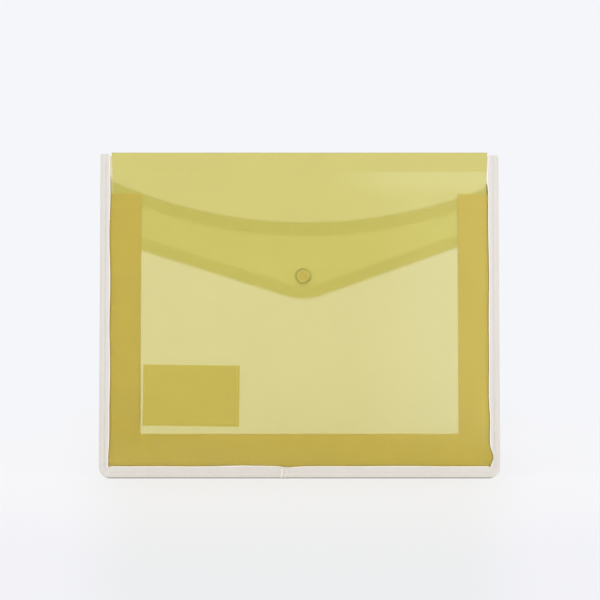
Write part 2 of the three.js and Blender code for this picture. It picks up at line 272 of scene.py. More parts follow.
def strands(name, centres, radii, sides=6):
    """Closed threads round short lines of centres [thread, point, xyz], with a radius for each point."""
    threads, points = centres.shape[:2]
    ahead = np.gradient(centres, axis=1)
    ahead /= np.linalg.norm(ahead, axis=2, keepdims=True)
    out = np.cross(ahead, np.array([0.0, 1.0, 0.0]))
    out /= np.linalg.norm(out, axis=2, keepdims=True)
    up = np.cross(out, ahead)
    angle = np.arange(sides) * 2 * math.pi / sides
    circle = np.cos(angle)[:, None] * out[:, :, None] + np.sin(angle)[:, None] * up[:, :, None]
    vertices = centres[:, :, None] + circle * np.asarray(radii)[None, :, None, None]
    first = np.arange(threads)[:, None, None] * points * sides
    ring = np.arange(points - 1)[None, :, None] * sides
    j = np.arange(sides)[None, None]
    k = (j + 1) % sides
    low = first + ring
    walls = np.stack([low + j, low + k, low + sides + k, low + sides + j], -1).reshape(-1, 4).tolist()
    starts = (first[:, 0] + np.arange(sides)[::-1]).tolist()
    ends = (first[:, 0] + (points - 1) * sides + np.arange(sides)).tolist()
    piece = add_mesh(name, vertices.reshape(-1, 3), walls + starts + ends)
    turn_outwards(piece)
    return smooth(piece, 80)


# Outlines
def bottom_outline(x):
    """The height of a sheet's lower edge at x. It is drawn in from the tape, with round corners."""
    radius = CORNER_RADIUS - SHEET_INSET
    into_corner = np.clip(np.abs(x) - (HALF_WIDTH - CORNER_RADIUS), 0, radius)
    return CORNER_RADIUS - np.sqrt(radius**2 - into_corner**2)


def mouth_height(x):
    """The concave mouth of the front sheet, whose lowest point lies a little to the right."""
    return MOUTH_CENTRE - np.sqrt(MOUTH_RADIUS**2 - (x - MOUTH_LOWEST_X) ** 2)


def flap_edge(x):
    """The V edge of the flap: on each side a straight line from the shoulder that touches the tip's arc."""
    side = np.where(x > FLAP_TIP_X, 1, -1)
    across = np.abs(x - FLAP_TIP_X)
    half = FLAP_HALF_WIDTH - side * FLAP_TIP_X
    centre = FLAP_TIP + FLAP_TIP_RADIUS
    rise = FLAP_SHOULDER + side * FLAP_SHOULDER_TILT - centre
    slope = np.arctan2(rise, half) + np.arcsin(FLAP_TIP_RADIUS / np.hypot(rise, half))
    touch = FLAP_TIP_RADIUS * np.sin(slope)
    arc = centre - np.sqrt(FLAP_TIP_RADIUS**2 - np.minimum(across, touch) ** 2)
    return arc + np.maximum(across - touch, 0) * np.tan(slope)


# Finishes
class Socket:
    """A shader's output that takes part in sums."""

    def __init__(self, finish, socket):
        self.finish = finish
        self.socket = socket

    def sum(self, operation, *values):
        return self.finish.node("ShaderNodeMath", dict(enumerate(values)), operation=operation)

    def __add__(self, other):
        return self.sum("ADD", self, other)

    def __sub__(self, other):
        return self.sum("SUBTRACT", self, other)

    def __rsub__(self, other):
        return self.sum("SUBTRACT", other, self)

    def __mul__(self, other):
        return self.sum("MULTIPLY", self, other)

    def __truediv__(self, other):
        return self.sum("DIVIDE", self, other)

    def __pow__(self, other):
        return self.sum("POWER", self, other)

    __radd__ = __add__


class Finish:
    """A material whose shader is a Principled one."""

    def __init__(self, name, **constants):
        self.material = bpy.data.materials.new(name)
        self.material.use_nodes = True
        self.tree = self.material.node_tree
        self.tree.nodes.clear()
        self.shader = self.tree.nodes.new("ShaderNodeBsdfPrincipled")
        self.output = self.tree.nodes.new("ShaderNodeOutputMaterial")
        self.tree.links.new(self.shader.outputs[0], self.output.inputs[0])
        self.vary(**constants)

    def feed(self, node, inputs):
        for key, value in inputs.items():
            if isinstance(value, Socket):
                self.tree.links.new(value.socket, node.inputs[key])
            else:
                node.inputs[key].default_value = value

    def node(self, kind, inputs=None, output=0, **settings):
        node = self.tree.nodes.new(kind)
        for key, value in settings.items():
            setattr(node, key, value)
        self.feed(node, inputs or {})
        return Socket(self, node.outputs[output])

    def place(self):
        """The point on the object in millimetres, as x, y and z."""
        point = self.node("ShaderNodeTexCoord", output="Object")
        return [self.node("ShaderNodeSeparateXYZ", {0: point}, output=i) / MM for i in range(3)]

    def noise(self, size, detail=2, stretch=(1, 1, 1)):
        """Noise whose grains are about size millimetres wide."""
        point = self.node("ShaderNodeTexCoord", output="Object")
        place = self.node("ShaderNodeVectorMath", {0: point, 1: stretch}, operation="MULTIPLY")
        settings = {"Vector": place, "Scale": 1 / (size * MM), "Detail": detail, "Roughness": 0.5}
        return self.node("ShaderNodeTexNoise", settings)

    def wave(self, value, pitch):
        """Goes from -1 to 1 and back over each pitch."""
        return self.node("ShaderNodeMath", {0: value * (2 * math.pi / pitch)}, operation="SINE")

    def weave(self):
        """Yarns that cross each other, as heights from 0 to 1."""
        x, y, z = self.place()
        return self.wave(x + y, YARN_PITCH) * self.wave(z + y, YARN_PITCH) * 0.5 + 0.5

    def above(self, value, least):
        """The value, or the least one where it is lower."""
        return self.node("ShaderNodeMath", {0: value, 1: least}, operation="MAXIMUM")

    def size(self, value):
        """The value without its sign."""
        return self.node("ShaderNodeMath", {0: value}, operation="ABSOLUTE")

    def step(self, value, low, high):
        """Goes smoothly from 0 to 1 while a value goes from low to high."""
        ends = {0: value, 1: low, 2: high}
        return self.node("ShaderNodeMapRange", ends, interpolation_type="SMOOTHSTEP")

    def blend(self, factor, first, second):
        """One colour where the factor is 0, and another where it is 1."""
        sides = {0: factor, 6: first, 7: second}
        return self.node("ShaderNodeMix", sides, output=2, data_type="RGBA")

    def vary(self, **sockets):
        self.feed(self.shader, {k.replace("_", " "): v for k, v in sockets.items()})

    def emboss(self, height, depth, strength=1.0):
        """A bump that is depth millimetres high where height is 1."""
        bump = {"Strength": strength, "Distance": depth * MM, "Height": height}
        self.vary(Normal=self.node("ShaderNodeBump", bump))


def colour(red, green, blue):
    return (red, green, blue, 1.0)


def shade(tint, share):
    return colour(*(channel * share for channel in tint))


def length_of(across, up):
    return (across * across + up * up) ** 0.5


def from_snap(finish):
    """The distance from the snap's axis."""
    x, _, z = finish.place()
    return length_of(x - SNAP_X, z - SNAP_Z)


def frosted_film(name, tint, clearness, roughness=0.44, painted_light=None, polished=None):
    """Frosted film, a little uneven in its tint and scuffed by papers and hands.

    The fifth argument paints light and shade into its colour in places, and polished is 1 where it has been
    worn smooth."""
    finish = Finish(name, IOR=1.33, Transmission_Weight=clearness)
    cloud = finish.noise(70, detail=3)
    mottle = finish.noise(9, detail=2)
    grain = finish.noise(1.3, detail=2)
    unevenness = cloud * 0.5 + mottle * 0.25 + grain * 0.25
    base = finish.blend(unevenness, shade(tint, 1.03), shade(tint, 0.97))
    scuffs = finish.step(finish.noise(3, detail=2, stretch=(1, 1, 0.06)), 0.62, 0.7)
    scuffs = scuffs + finish.step(finish.noise(4, detail=2, stretch=(0.06, 1, 1)), 0.63, 0.7)
    base = finish.blend(scuffs * 0.12, base, shade(tint, 1.1))
    # The given function paints light and shade into the base colour.
    if painted_light:
        base = painted_light(finish, base)
    roughness = roughness - 0.04 + mottle * 0.08 + scuffs * 0.05
    if polished:
        roughness = roughness - polished(finish) * 0.25
    finish.vary(Base_Color=base, Roughness=roughness)
    frost = finish.noise(0.45, detail=2)
    ripple = finish.noise(30, detail=1)
    finish.emboss(frost * 0.05 + ripple * 0.6, 0.2, 0.4)
    return finish.material


def painted_reflection(finish, base):
    """Painted reflection of a soft light at the right: the film is painted paler towards the right, most of
    all just below the score.
    """
    x, _, z = finish.place()
    below = finish.step(z, SCORE - 28, SCORE - 7) - finish.step(z, SCORE - 0.6, SCORE + 0.4)
    # Painted reflection just below the score, on the right.
    reflection_below_score = below * finish.step(x, 20, 110) * 0.7
    # Painted reflection over the right of the panel.
    paled = finish.step(x, 50, 140) * finish.step(z, 12, 60) * (1 - finish.step(z, 255, 280)) * 0.3
    return finish.blend(reflection_below_score + paled, base, colour(0.93, 0.885, 0.665))


def over_snap(finish):
    """The spot of the back film that the snap rubs against and keeps smooth."""
    return 1 - finish.step(from_snap(finish), 5.4, 7.4)


def painted_crease_light(finish, base):
    """Painted light and shade where the strip was folded round a corner: the film is painted darker and
    more saturated along a crease at the left corner, and at the right corner it has a painted highlight and
    a painted shade. Along the foot it is paler on the left."""
    x, _, z = finish.place()
    past_crease = (x + WINDOW_HALF_WIDTH) * CORNER_CREASE[0] + (z - 40) * CORNER_CREASE[1]
    near_left = (1 - finish.step(x, -138, -122)) * (1 - finish.step(z, 45, 75))
    # Painted shade along the crease at the left corner.
    crease = (finish.step(past_crease, -16, -1) - finish.step(past_crease, 0, 3)) * near_left
    base = finish.blend(crease * 0.45, base, colour(0.97, 0.86, 0.28))
    near_foot = (1 - finish.step(z, 16, 40)) * (1 - finish.step(x, -60, 60))
    base = finish.blend(near_foot * 0.4, base, colour(1.0, 0.93, 0.58))
    # Painted highlight at the right corner.
    painted_corner_highlight = 1 - finish.step(length_of(x - 175, z - 40), 3, 13)
    base = finish.blend(painted_corner_highlight * 0.6, base, colour(1.0, 0.97, 0.6))
    # Painted shade at the right corner.
    painted_shade = 1 - finish.step(length_of((x - 167) * 1.6, z - 28), 3, 12)
    return finish.blend(painted_shade * 0.35, base, colour(0.93, 0.85, 0.36))


def painted_ring_light(finish, base):
    """The snap's plastic is painted with light and shade: palest as a painted highlight on its ridge, and
    painted darker and more saturated as painted shade in its recessed middle and round its edge.
    """
    radius = from_snap(finish)
    # Painted shade in the recessed middle.
    base = finish.blend((1 - finish.step(radius, 3.2, 4.6)) * 0.7, base, colour(0.95, 0.83, 0.34))
    # Painted shade round the edge.
    return finish.blend(finish.step(radius, 6.0, 6.5) * 0.1, base, colour(0.8, 0.69, 0.26))


def woven_tape():
    """Plain weave of cream cotton tape, with painted shade along its stitch groove, painted shade tinted
    yellow like light bounced off the film along its outer edge, and a painted contact shadow at its foot.
    """
    finish = Finish("woven_tape", Sheen_Weight=0.2, Sheen_Roughness=0.5)
    x, _, z = finish.place()
    past_side = finish.above(finish.size(x) - (HALF_WIDTH - CORNER_RADIUS), 0)
    past_foot = finish.above(CORNER_RADIUS - z, 0)
    inwards = CORNER_RADIUS - length_of(past_side, past_foot)
    weave = finish.weave()
    fuzz = finish.noise(1.1, detail=3)
    cloud = finish.noise(25, detail=2)
    shade_mix = cloud * 0.35 + weave * 0.4 + fuzz * 0.25
    cloth = finish.blend(shade_mix, colour(0.64, 0.605, 0.565), colour(0.795, 0.76, 0.72))
    # Painted shade along the stitch groove, about 5 mm in from the outer edge.
    painted_groove_shade = finish.step(inwards, 4.2, 5.2) - finish.step(inwards, 5.6, 6.6)
    cloth = finish.blend(painted_groove_shade * 0.25, cloth, colour(0.55, 0.52, 0.48))
    # Painted shade on the rounded outer edge, tinted yellow like light bounced off the film, with less of
    # it at the foot.
    painted_edge_shade = (1 - finish.step(inwards, 1, 5)) * (0.2 + finish.step(z, 10, 25) * 0.3)
    cloth = finish.blend(painted_edge_shade, cloth, colour(0.665, 0.655, 0.55))
    # Painted contact shadow along the foot, where the tape meets the floor.
    painted_contact_shadow = (1 - finish.step(z, 0.5, 1.3)) * 0.9
    finish.vary(
        Base_Color=finish.blend(painted_contact_shadow, cloth, colour(0.25, 0.235, 0.21)),
        Roughness=0.82 + fuzz * 0.12,
    )
    finish.emboss(weave * 0.8 + fuzz * 0.4, 0.12, 0.8)
    return finish.material


def painted_highlight_tape():
    """A painted highlight where the tape's raised inner lip and the lap's folds catch the light: paler, a
    little smoother tape.
    """
    finish = Finish("tape_painted_highlight", Sheen_Weight=0.2, Sheen_Roughness=0.4)
    weave = finish.weave()
    tone = finish.blend(weave, colour(0.88, 0.85, 0.74), colour(0.92, 0.9, 0.81))
    finish.vary(Base_Color=tone, Roughness=0.6 + weave * 0.15)
    finish.emboss(weave, 0.06, 0.4)
    return finish.material


def sewing_thread():
    """Two-ply cream thread, whose twist shows as slanting bands."""
    finish = Finish("sewing_thread", Sheen_Weight=0.3, Sheen_Roughness=0.4)
    x, y, z = finish.place()
    twist = finish.wave(x + y * 0.6 + z, 0.32) * 0.5 + 0.5
    finish.vary(
        Base_Color=finish.blend(twist, colour(0.7, 0.68, 0.62), colour(0.84, 0.82, 0.77)),
        Roughness=0.6 + twist * 0.15,
    )
    finish.emboss(twist, 0.05, 0.6)
    return finish.material


# The back film gets a painted reflection towards its right.
back_finish = frosted_film(
    "frosted_film", (0.835, 0.776, 0.445), 1, painted_light=painted_reflection, polished=over_snap
)
flap_finish = frosted_film("thin_frosted_film", (0.905, 0.885, 0.455), 1)
front_finish = frosted_film("pale_frosted_film", (0.98, 0.97, 0.71), 1)
hem_finish = frosted_film("pressed_film", (0.98, 0.965, 0.84), 1)
# The gusset film gets painted shade and a painted highlight at its corners.
gusset_finish = frosted_film("cloudy_film", (0.99, 0.91, 0.4), 0.08, 0.7, painted_crease_light)
pocket_finish = frosted_film("pocket_film", (0.96, 0.905, 0.55), 1, 0.4)
# The snap's plastic gets a painted highlight on its ridge, and painted shade in its middle and round its
# edge.
plastic_finish = frosted_film("moulded_plastic", (1.0, 0.99, 0.6), 0, 0.25, painted_ring_light)
tape_finish = woven_tape()
# Tape with a painted highlight, for the raised lip and the lap's folds.
painted_highlight_finish = painted_highlight_tape()
thread_finish = sewing_thread()


def dress(piece, finish, slot, *nodes):
    piece.data.materials.clear()
    piece.data.materials.append(finish)
    if nodes:
        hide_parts(*nodes)
    return piece


def point(x, y, z):
    """A point in metres."""
    return (x * MM, y * MM, z * MM)


def panel_columns():
    """The x of the columns of the back and front sheets, closer together at the round corners."""
    edge = HALF_WIDTH - SHEET_INSET
    straight = HALF_WIDTH - CORNER_RADIUS - 2
    return spread((-edge, -straight, 12), (-straight, straight, 58), (straight, edge, 12))


# Back sheet: panel and top strip, up to the crown of the top fold
def back_sheet():
    x = panel_columns()
    low = bottom_outline(x)
    panel_z = low + (SCORE - 2 - low) * spread((0, 1, SHEET_ROWS))[:, None]
    near_score = np.repeat(spread((SCORE - 1.6, SCORE + 1.6, 8))[:, None], len(x), 1)
    under_tape = TOP - TAPE_TOP_DROP - RIGHT_TAPE_DROP - 0.6
    strip_z = np.repeat(spread((SCORE + 3, under_tape, 8))[:, None], len(x), 1)
    z = np.concatenate([panel_z, near_score, strip_z])
    y = BACK_Y + SCORE_RIDGE * hill(z, SCORE, 0.5)
    full = x * (1 - 0.012 * ease((z - SCORE - 4) / 7))
    turn = spread((0, math.pi / 2, 5))[:, None] + 0 * x
    crown_z = FOLD_CENTRE + FOLD_RADIUS * np.sin(turn)
    crown_y = BACK_Y + FOLD_RADIUS * (1 - np.cos(turn))
    crown_z = np.concatenate([crown_z[:1] * 0 + under_tape + 0.05, crown_z])
    crown_y = np.concatenate([crown_y[:1], crown_y])
    narrow = np.broadcast_to(x * FLAP_HALF_WIDTH / (HALF_WIDTH - SHEET_INSET), crown_z.shape)
    x = np.concatenate([full, narrow])
    z, y = np.concatenate([z, crown_z]), np.concatenate([y, crown_y])
    sheet = film_sheet("back_sheet", np.stack([x, y, z], -1))
    dress(sheet, back_finish, "film", "back_panel", "top_strip")
    ends = [point(0, BACK_Y, SCORE + d) for d in (-1.5, 1.5)]
    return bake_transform(sheet)


# Flap: from the crown of the top fold over the mouth to the V edge, and back up in a folded hem
def flap_sheet():
    half, tip = FLAP_HALF_WIDTH, 30
    x = spread((-half, -tip, 30), (-tip, tip, 24), (tip, half, 30))
    crown_y = BACK_Y + FOLD_RADIUS
    slant = math.atan2(FLAP_Y - crown_y - FOLD_RADIUS, FOLD_CENTRE - KNEE)
    line = []
    for angle in spread((0, math.pi / 2 - slant, 6)):
        over = (math.sin(angle), math.cos(angle))
        line.append((crown_y + FOLD_RADIUS * over[0], FOLD_CENTRE + FOLD_RADIUS * over[1]))
    start = np.array(line[-1])
    knee = np.array([FLAP_Y, KNEE])
    for share in spread((0, 0.93, 16))[1:]:
        line.append(tuple(start + (knee - start) * share))
    line += [(FLAP_Y - 0.12, KNEE + 1.2), (FLAP_Y - 0.02, KNEE - 0.6)]
    z = [np.full(len(x), point_z) for _, point_z in line]
    y = [np.full(len(x), point_y) for point_y, _ in line]
    edge = flap_edge(x)
    radius = (FLAP_Y - FLAP_HEM_Y) / 2
    for share in spread((0, 1, 26))[1:]:
        z.append(line[-1][1] + (edge + radius - line[-1][1]) * share)
        y.append(np.full(len(x), FLAP_Y))
    for angle in spread((0, math.pi, 8))[1:]:
        z.append(edge + radius * (1 - math.sin(angle)))
        y.append(np.full(len(x), FLAP_Y - radius * (1 - math.cos(angle))))
    for share in spread((0, 1, 5))[1:]:
        z.append(edge + radius + share * (HEM_WIDTH - radius))
        y.append(np.full(len(x), FLAP_HEM_Y))
    z, y = np.array(z), np.array(y)
    sheet = film_sheet("flap_sheet", np.stack([np.broadcast_to(x, z.shape), y, z], -1))
    dress(sheet, flap_finish, "film", "flap_crease", "flap", "flap_hem")
    sheet.data.materials.append(hem_finish)
    for face in sheet.data.polygons:
        if face.center.z < (KNEE - 10) * MM and face.center.y < (FLAP_Y - radius) * MM:
            face.material_index = 1
    along = np.array([0, math.sin(slant), -math.cos(slant)])
    crown = np.array([0, crown_y, TOP])
    ends = [point(*(crown + along * (CREASE_STRIP + d))) for d in (-1.4, 1.4)]
    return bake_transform(sheet)


# Front sheet, and the hem folded over its mouth
def front_sheet():
    x = panel_columns()
    low = bottom_outline(x)
    z = low + (mouth_height(x) - low) * spread((0, 1, SHEET_ROWS))[:, None]
    points = np.stack([np.broadcast_to(x, z.shape), np.full(z.shape, FRONT_Y), z], -1)
    sheet = dress(film_sheet("front_sheet", points), front_finish, "film", "front_panel")
    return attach(sheet, "front")


def mouth_hem():
    x = spread((-FLAP_HALF_WIDTH, FLAP_HALF_WIDTH, 70))
    edge = mouth_height(x)
    radius = (MOUTH_HEM_Y - FRONT_Y) / 2
    rows = []
    for angle in spread((0, math.pi, 8)):
        y = FRONT_Y + radius * (1 - math.cos(angle))
        rows.append((y, edge + 0.04 + radius * math.sin(angle)))
    for share in spread((0, 1, 5))[1:]:
        rows.append((MOUTH_HEM_Y, edge - HEM_WIDTH * share))
    points = np.array([np.stack([x, np.full(len(x), y), z], -1) for y, z in rows])
    hem = dress(film_sheet("mouth_hem_fold", points), hem_finish, "hem", "mouth_hem")
    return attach(hem, "front")


# Gusset
def leaf_line(start):
    """A leaf's section from start to the middle of the crease: (u, rise towards the other leaf)."""
    rise = FOLD_Y - BACK_EDGE_Y
    curl = CREASE_RADIUS
    flat = (start, -3, -1.2, -0.6, 0, 0.6, 1.2, 4, 8, FLAT_LENGTH)
    line = [(u, 0) for u in flat if u >= start]
    for t in spread((0, 1, 10))[1:]:
        u = FLAT_LENGTH + (LEAF_WIDTH - curl - FLAT_LENGTH) * t
        line.append((u, (rise - curl) * float(ease(t))))
    for angle in spread((0, math.pi / 2, 5))[1:]:
        line.append((LEAF_WIDTH - curl + curl * math.sin(angle), rise - curl * math.cos(angle)))
    return np.array(line)


def gusset_leaf(name, side, is_front, line):
    """side is -1 or 1 for the leaves along the sides, and 0 for the two along the bottom."""
    u, rise = line[:, 0][:, None], line[:, 1][:, None]
    y = FRONT_EDGE_Y - rise if is_front else BACK_EDGE_Y + rise
    mitre = np.maximum(u, 0)
    if side:
        share = spread((0, 1, SHEET_ROWS))[None]
        foot = BOTTOM_SEAM + MITRE_GAP + mitre
        z = foot + (GUSSET_TOP - foot) * share
        x = np.broadcast_to(side * (SIDE_SEAM - u), z.shape)
    else:
        x = (SIDE_SEAM - MITRE_GAP - mitre) * spread((-1, 1, 60))[None]
        z = np.broadcast_to(BOTTOM_SEAM + u, x.shape)
    return film_sheet(name, np.stack([x, np.broadcast_to(y, x.shape), z], -1))


def gusset():
    """Six leaves. The film of a leaf that no joint holds to its panel ends at the seam, and its sewn edge
    is a piece of the panel's own."""
    joined = {frozenset((joint["parent"], joint["child"])) for joint in frame["joints"]}
    for place, side in (("left", -1), ("right", 1), ("bottom", 0)):
        for half, panel_body, edge_y in (("back", "root", BACK_EDGE_Y), ("front", "front", FRONT_EDGE_Y)):
            name = f"gusset_{place}_{half}"
            body = f"{place}_{half}_leaf"
            hinged = frozenset((body, panel_body)) in joined
            line = leaf_line(-SEWN_EDGE if hinged else 0.2)
            sheet = gusset_leaf(name + "_film", side, half == "front", line)
            dress(sheet, gusset_finish, "film", name, f"gusset_{half}_edge")
            if not hinged:
                line = np.array([(u, 0) for u in (-SEWN_EDGE, -3, -0.05)])
                edge = gusset_leaf(name + "_sewn_edge", side, half == "front", line)
                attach(dress(edge, gusset_finish, "film", f"gusset_{half}_edge"), panel_body)
                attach(sheet, body)
                continue
            bend = (SEAM_BEND, -SEAM_BEND)
            if side:
                ends = [point(side * (SIDE_SEAM + d), edge_y, SEAM_POINT_Z) for d in bend]
            else:
                ends = [point(0, edge_y, BOTTOM_SEAM - d) for d in bend]
            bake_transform(sheet)


# Binding tape
class TapeLine:
    """The outer edge of one length of tape, from its top down a side, round the corner and to the join."""

    def __init__(self, side, top, join):
        r = CORNER_RADIUS
        lines = [(HALF_WIDTH, z, 1, 0) for z in np.linspace(top, r, 150, endpoint=False)]
        for angle in np.linspace(0, math.pi / 2, 16, endpoint=False):
            c, s = math.cos(angle), math.sin(angle)
            lines.append((HALF_WIDTH - r + r * c, r - r * s, c, -s))
        lines += [(x, 0, 0, -1) for x in np.linspace(HALF_WIDTH - r, join, 110)]
        x, z, out_x, out_z = np.array(lines, float).T
        self.side = side
        self.x, self.z, self.out_x, self.out_z = side * x, z, side * out_x, out_z
        steps = np.hypot(np.diff(x), np.diff(z))
        self.run = np.concatenate([[0], np.cumsum(steps)])
        self.width = self.panel_width(x)

    def panel_width(self, x):
        """How far the tape reaches over the panel: it wanders a little, as tape fed by hand does."""
        wander = 0.25 * np.sin(self.run / 31 + self.side) + 0.2 * np.sin(self.run / 12.5 + 2 * self.side)
        if self.side < 0:
            upright = 9.6 - 0.9 * hill(self.z, 232, 26) + 0.5 * hill(self.z, 105, 40)
            upright = upright - 1.2 * hill(self.z, 19, 14)
        else:
            upright = 9.9 + 1.2 * hill(self.z, 281, 9) - 0.8 * hill(self.z, 56, 12)
            upright = upright - 3.4 * hill(self.z, 20, 7)
        lower = 11.4 - 0.8 * hill(self.side * x, -9, 9) + 0.5 * hill(self.side * x, -55, 20)
        turned = ease(-self.out_z)
        return upright + (lower - upright) * turned + wander * (1 - 0.5 * turned)

    def inwards(self, distance):
        """The points x, z that lie a distance in from the outer edge."""
        return self.x - self.out_x * distance, self.z - self.out_z * distance


def tape_section(width, depth):
    """Points (distance in from the outer edge, height over the lower sheet) of tape folded over an edge."""
    half = FILM / 2
    radius = depth / 2 - half
    rows = []
    for t in spread((0, 0.08, 3), (0.08, 0.34, 6), (0.34, 0.56, 6), (0.56, 1, 6)):
        d = width + (radius + half - width) * t
        lip = LIP_HEIGHT * hill(t, 0, 0.07)
        roll = ROLL_HEIGHT * math.sin(math.pi * min(max((t - 0.5) / 0.5, 0), 1))
        groove = OUTER_GROOVE * hill(d, STITCH_INSET, 0.5)
        rows.append((d, half - lip - roll + groove))
    for angle in spread((0, math.pi, 10))[1:]:
        d = half + radius * (1 - math.sin(angle)) + 0 * width
        rows.append((d, half + radius * (1 - math.cos(angle))))
    for t in spread((0, 1, 6))[1:]:
        d = half + radius + (TAPE_INNER_WIDTH - half - radius) * t + 0 * width
        groove = INNER_GROOVE * hill(d, STITCH_INSET, 0.5)
        rows.append((d, depth - half - groove))
    return rows


def tape_length(name, line, panel_y, gusset_y):
    """A tape folded over the sheets' edges: panel face, round edge, and a narrower face on the gusset.

    Its upper end is squeezed flat."""
    towards = 1 if gusset_y > panel_y else -1
    points = []
    depth = abs(gusset_y - panel_y)
    open_share = 1 - (1 - PRESSED_DEPTH / depth) * ease(1 - line.run / PRESSED_LENGTH)
    for d, height in tape_section(line.width, depth):
        height = FILM / 2 + (height - FILM / 2) * open_share
        x, z = line.inwards(d)
        points.append(np.stack([x, panel_y + towards * height + 0 * x, z], -1))
    return film_sheet(name, np.array(points))


def paint_highlight(tape, columns, is_highlit):
    """Gives the painted highlight's finish to the faces whose row and column across the tape are to be
    painted lighter.
    """
    tape.data.materials.append(painted_highlight_finish)
    side = columns * TAPE_ROWS
    for face in tape.data.polygons:
        if face.index < 2 * side and is_highlit(face.index % side // columns, face.index % columns):
            face.material_index = 1


def edge_with_highlight(tape, line):
    # The first rows, on the raised inner lip, get the painted highlight.
    paint_highlight(tape, len(line.x) - 1, lambda row, column: row < HIGHLIGHT_ROWS)


def seam_stitches(name, line, panel_y, gusset_y):
    """Lockstitches along both faces of a bound seam, each sunk into the tape at its two ends."""
    towards = 1 if gusset_y > panel_y else -1
    centres = []
    starts = np.arange(PRESSED_LENGTH + 1, line.run[-1] - 5, STITCH_PITCH)
    share = np.linspace(0, 1, 7)
    run = starts[:, None] + STITCH_PITCH * (STITCH_GAP + (1 - 2 * STITCH_GAP) * share)[None]
    x, z = line.inwards(STITCH_INSET)
    x, z = np.interp(run, line.run, x), np.interp(run, line.run, z)
    lift = STITCH_LIFT * np.sin(math.pi * share)[None]
    sink = towards * STITCH_SINK
    for face, sign in ((panel_y + sink, -towards), (gusset_y - sink, towards)):
        centres.append(np.stack([x, face + sign * lift + 0 * x, z], -1))
    radii = THREAD_RADIUS * np.sqrt(np.sin(math.pi * (0.12 + 0.76 * share)))
    return strands(name, np.concatenate(centres), radii)


def tape_lap(name, panel_y, gusset_y):
    """The end of one length, turned under and laid slantwise over the other where they meet."""
    towards = 1 if gusset_y > panel_y else -1
    across = spread((-LAP_HALF_WIDTH, LAP_HALF_WIDTH, LAP_COLUMNS))
    height = 0.55 + 0.95 * hill(across, -2.4, 1.0) + 0.8 * hill(across, 2.3, 0.8)
    height = height * ease((LAP_HALF_WIDTH + 0.2 - np.abs(across)) / 0.9)
    depth = abs(gusset_y - panel_y)
    radius = depth / 2 - FILM / 2
    rows = []
    for d, low in tape_section(np.array(LAP_REACH), depth):
        d = float(d)
        slant = (0.06 + 0.24 * ease((across + 2) / 4)) * (d - 5)
        fold_out = np.clip((radius + FILM / 2 - d) / radius, 0, 1)
        near = 1 - 2 * min(max(low / depth, 0), 1)
        x = TAPE_JOIN + across + slant
        y = panel_y + towards * (low - near * height * (1 - 0.5 * fold_out) * 0.8)
        z = d - fold_out * height * 0.3
        rows.append(np.stack([x, y + 0 * x, np.maximum(z + 0 * x, 0.25)], -1))
    return film_sheet(name, np.array(rows))


def tapes():
    back_y = depth_of("back_tape_right")
    front_y = depth_of("front_tape_right")[::-1]
    score_ends = [point(0, 0, SCORE + d) for d in (-2, 2)]
    for side, place in ((-1, "left"), (1, "right")):
        join = side * TAPE_JOIN + 0.15
        line = TapeLine(side, TOP - TAPE_TOP_DROP - (RIGHT_TAPE_DROP if side > 0 else 0), join)
        back = tape_length(f"back_tape_{place}_woven", line, *back_y)
        dress(back, tape_finish, "tape", f"back_tape_{place}", f"top_tape_{place}")
        edge_with_highlight(back, line)
        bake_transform(back)
        stitches = dress(seam_stitches(f"back_seam_{place}_thread", line, *back_y), thread_finish, "tape")
        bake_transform(stitches)
        line = TapeLine(side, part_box(f"front_tape_{place}")[1].z / MM, join)
        front = tape_length(f"front_tape_{place}_woven", line, *front_y)
        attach(dress(front, tape_finish, "tape", f"front_tape_{place}"), "front")
        edge_with_highlight(front, line)
        stitches = dress(seam_stitches(f"front_seam_{place}_thread", line, *front_y), thread_finish, "tape")
        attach(stitches, "front")
    for name, ys, body in (("back_tape_lap", back_y, "root"), ("front_tape_lap", front_y, "front")):
        lap = dress(tape_lap(name, *ys), tape_finish, "tape")
        # The lap's fold ridges get the painted highlight.
        paint_highlight(lap, LAP_COLUMNS, lambda row, column: column in LAP_FOLDS)
        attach(lap, body)


# Card pocket: a backing leaf, and a front leaf welded to it along three sides
def pocket():
    back_y = middle_of("card_pocket_back")
    front_y = depth_of("card_pocket_front")[0] + FILM / 2
    weld_y = back_y - FILM - WELD_GAP
    half_width, half_height = POCKET_WIDTH / 2, POCKET_HEIGHT / 2

    def placed(a, b, y):
        x = POCKET_CENTRE[0] + a * math.cos(POCKET_TILT) + b * math.sin(POCKET_TILT)
        z = POCKET_CENTRE[1] - a * math.sin(POCKET_TILT) + b * math.cos(POCKET_TILT)
        return np.stack([x, y + 0 * x, z], -1)

    inner, above_weld = half_width - POCKET_MARGIN, POCKET_MARGIN - half_height
    a, b = np.meshgrid(
        spread((-half_width, -inner, 8), (-inner, inner, 20), (inner, half_width, 8)),
        spread((-half_height, above_weld, 8), (above_weld, half_height, 16)),
    )
    backing = film_sheet("pocket_backing", placed(a, b, back_y))
    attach(dress(backing, pocket_finish, "film", "card_pocket_back"), "root")
    inside = np.minimum(half_width - np.abs(a), b + half_height)
    lift = ease((inside - WELD_WIDTH) / WELD_SLOPE)
    leaf = film_sheet("pocket_leaf", placed(a, b, weld_y + (front_y - weld_y) * lift))
    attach(dress(leaf, pocket_finish, "film", "card_pocket_front"), "root")


